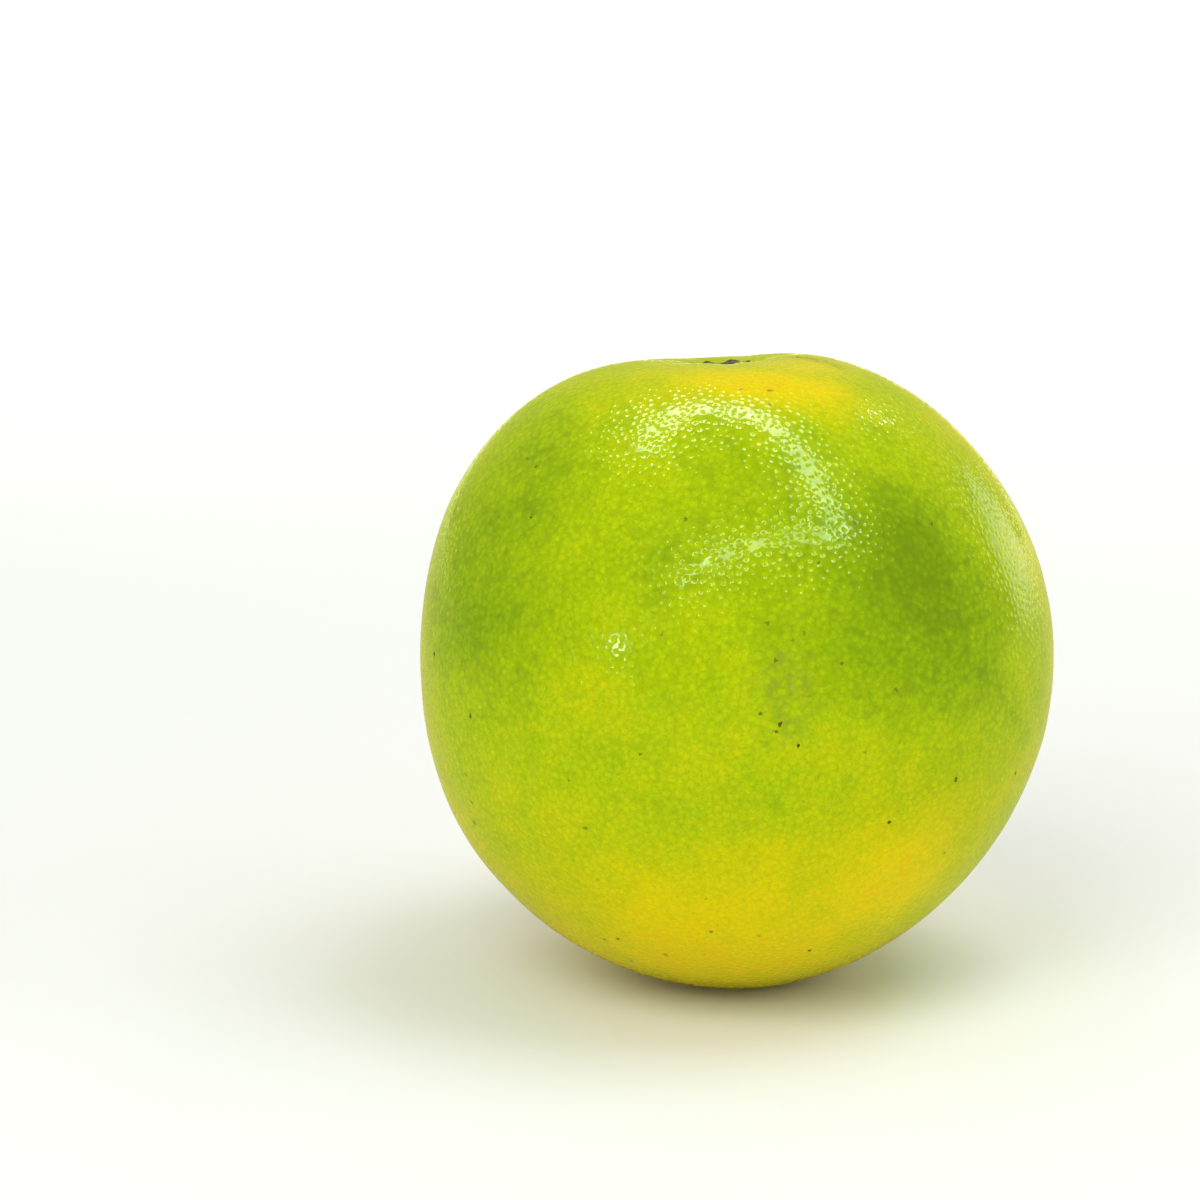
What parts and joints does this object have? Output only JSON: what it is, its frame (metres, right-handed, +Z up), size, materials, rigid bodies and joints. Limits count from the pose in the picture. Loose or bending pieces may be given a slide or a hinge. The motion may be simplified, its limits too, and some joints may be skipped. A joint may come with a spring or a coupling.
{
  "type": "orange",
  "caption": "Whole fresh orange with green-yellow pitted peel and its dried stem button, resting on a small flat spot.",
  "frame": {"origin": "middle of the flat spot that the fruit rests on, on the surface that it stands on", "axes": "+Z up, towards the stem end; +Y towards the back, where the stem axis leans; +X to the right seen from the front"},
  "size_m": [0.0753, 0.0761, 0.0753],
  "materials": {
    "peel": "satin",
    "dried_calyx": "matte"
  },
  "bodies": {
    "root": {"fruit": "peel", "stem_button": "dried_calyx"}
  },
  "joints": []
}
